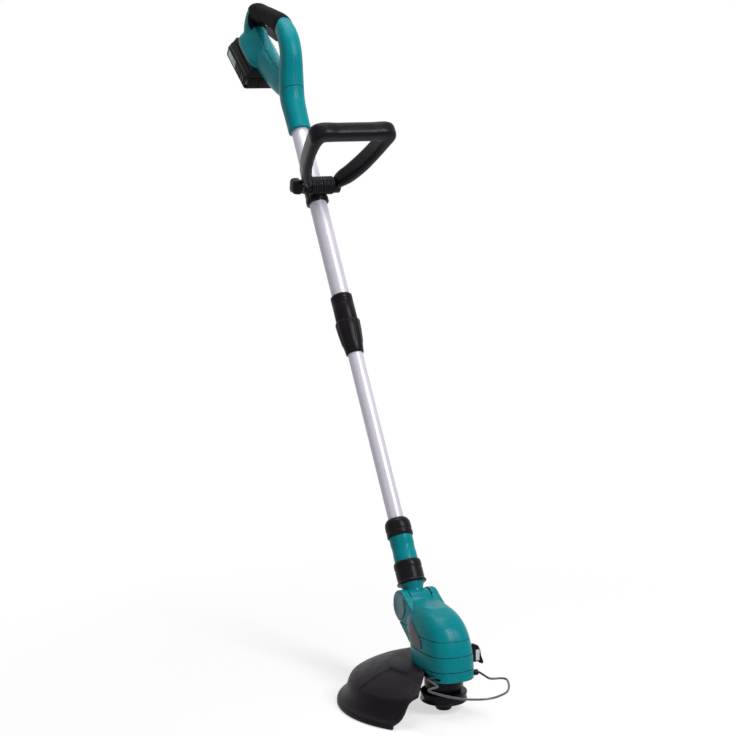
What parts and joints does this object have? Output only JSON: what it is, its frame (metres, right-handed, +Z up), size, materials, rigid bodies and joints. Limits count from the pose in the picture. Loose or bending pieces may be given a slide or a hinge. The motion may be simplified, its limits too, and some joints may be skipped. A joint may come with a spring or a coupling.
{
  "type": "cordless string trimmer",
  "caption": "Cordless string trimmer with telescopic shaft, slide-on battery, D-shaped auxiliary handle, tilting motor head, line spool, rear guard and folding wire guard.",
  "frame": {"origin": "centre of the bump knob's flat underside, where the cutting head touches the ground", "axes": "+Z up along the spool's axis, +X forward from the head to the wire guard, +Y to the operator's left; the shaft leans back towards -X"},
  "size_m": [0.9707, 0.2655, 1.0833],
  "materials": {
    "teal": "satin moulded plastic with fine grain",
    "slate": "matt moulded plastic",
    "black_plastic": "matt moulded plastic with fine grain",
    "black_rubber": "soft matt rubber",
    "grey_tube": "satin painted tube",
    "steel": "satin wire and pins"
  },
  "bodies": {
    "handle": {"handle_shell_left": "teal", "handle_shell_right": "teal", "soft_grip": "black_rubber", "upper_tube": "grey_tube", "power_switch": "black_plastic", "terminal_block": "slate", "lock_body": "black_plastic", "lock_collet": "black_plastic"},
    "trigger": {"trigger": "black_plastic"},
    "lock_off": {"lock_off_button": "black_plastic"},
    "battery": {"battery_base": "black_plastic", "battery_cover": "black_plastic", "battery_cell_1": "slate", "battery_cell_2": "slate", "battery_cell_3": "slate", "battery_cell_4": "slate", "battery_cell_5": "slate"},
    "latch": {"battery_latch": "slate"},
    "clamp": {"tube_clamp": "black_plastic"},
    "front_handle": {"d_handle": "black_plastic"},
    "clamp_screw": {"clamp_bolt": "steel", "clamp_knob": "black_plastic"},
    "lock_ring": {"lock_nut": "black_plastic"},
    "lower_shaft": {"lower_tube": "grey_tube", "tube_bush": "black_plastic", "motor_cable": "black_rubber", "tube_cap": "black_plastic", "neck_sleeve": "teal"},
    "collar": {"rotation_collar": "black_plastic", "collar_spring": "steel"},
    "neck": {"neck_yoke": "teal"},
    "head": {"housing_left": "teal", "housing_right": "teal", "tilt_pin": "steel", "side_plate": "black_plastic", "guard": "black_plastic", "line_cutter": "steel", "motor_base": "black_plastic", "motor_can": "steel", "motor_bearing": "steel", "wire_socket_left": "black_plastic", "wire_socket_right": "black_plastic"},
    "tilt_release": {"tilt_button": "slate"},
    "wire_guard": {"flower_guard": "steel"},
    "spool": {"motor_shaft": "steel", "cooling_fan": "black_plastic", "spool_housing": "black_plastic", "eyelet_left": "steel", "eyelet_right": "steel", "spool_cover": "black_plastic", "line_reel": "slate", "line_winding": "black_rubber", "bump_spring": "steel"},
    "bump": {"bump_knob": "black_plastic"}
  },
  "joints": [
    {"name": "trigger_pull", "type": "hinge", "parent": "handle", "child": "trigger", "pos_m": [-0.6928, 0, 1.0362], "axis": [0, -1, 0], "range_deg": [0, 10], "stiffness_Nm_per_rad": 0.3, "springref_deg": -5.73},
    {"name": "lock_off_press", "type": "slide", "parent": "handle", "child": "lock_off", "axis": [0, -1, 0], "range_m": [0, 0.003], "stiffness_N_per_m": 600, "springref_m": -0.001},
    {"name": "battery_slide", "type": "slide", "parent": "handle", "child": "battery", "axis": [-0.823, 0, 0.568], "range_m": [0, 0.08]},
    {"name": "latch_press", "type": "slide", "parent": "battery", "child": "latch", "axis": [0.823, 0, -0.568], "range_m": [0, 0.003], "stiffness_N_per_m": 800, "springref_m": -0.001},
    {"name": "clamp_slide", "type": "slide", "parent": "handle", "child": "clamp", "axis": [-0.5417, 0, 0.8406], "range_m": [-0.15, 0.06]},
    {"name": "front_handle_tilt", "type": "hinge", "parent": "clamp", "child": "front_handle", "pos_m": [-0.46892, 0, 0.7736], "axis": [0, 1, 0], "range_deg": [-30, 40]},
    {"name": "clamp_screw_turn", "type": "hinge", "parent": "clamp", "child": "clamp_screw", "pos_m": [-0.46892, 0, 0.7736], "axis": [0, 1, 0], "continuous": true},
    {"name": "lock_ring_turn", "type": "hinge", "parent": "handle", "child": "lock_ring", "pos_m": [-0.36, 0, 0.5547], "axis": [-0.5417, 0, 0.8406], "range_deg": [0, 90]},
    {"name": "shaft_telescope", "type": "slide", "parent": "handle", "child": "lower_shaft", "axis": [-0.5417, 0, 0.8406], "range_m": [0, 0.2]},
    {"name": "collar_pull", "type": "slide", "parent": "lower_shaft", "child": "collar", "axis": [-0.5417, 0, 0.8406], "range_m": [0, 0.005], "stiffness_N_per_m": 800, "springref_m": -0.003},
    {"name": "head_twist", "type": "hinge", "parent": "lower_shaft", "child": "neck", "pos_m": [-0.094, 0, 0.142], "axis": [-0.5417, 0, 0.8406], "range_deg": [0, 180]},
    {"name": "head_tilt", "type": "hinge", "parent": "neck", "child": "head", "pos_m": [-0.094, 0, 0.142], "axis": [0, 1, 0], "range_deg": [-22, 55]},
    {"name": "tilt_release_press", "type": "slide", "parent": "head", "child": "tilt_release", "axis": [0, 1, 0], "range_m": [0, 0.003], "stiffness_N_per_m": 800, "springref_m": -0.001},
    {"name": "wire_guard_fold", "type": "hinge", "parent": "head", "child": "wire_guard", "pos_m": [0.031, 0, 0.062], "axis": [0, -1, 0], "range_deg": [0, 90]},
    {"name": "spool_spin", "type": "hinge", "parent": "head", "child": "spool", "pos_m": [0, 0, 0], "axis": [0, 0, 1], "continuous": true},
    {"name": "bump_press", "type": "slide", "parent": "spool", "child": "bump", "axis": [0, 0, 1], "range_m": [0, 0.004], "stiffness_N_per_m": 600, "springref_m": -0.003, "deforming": ["bump_spring"]}
  ]
}
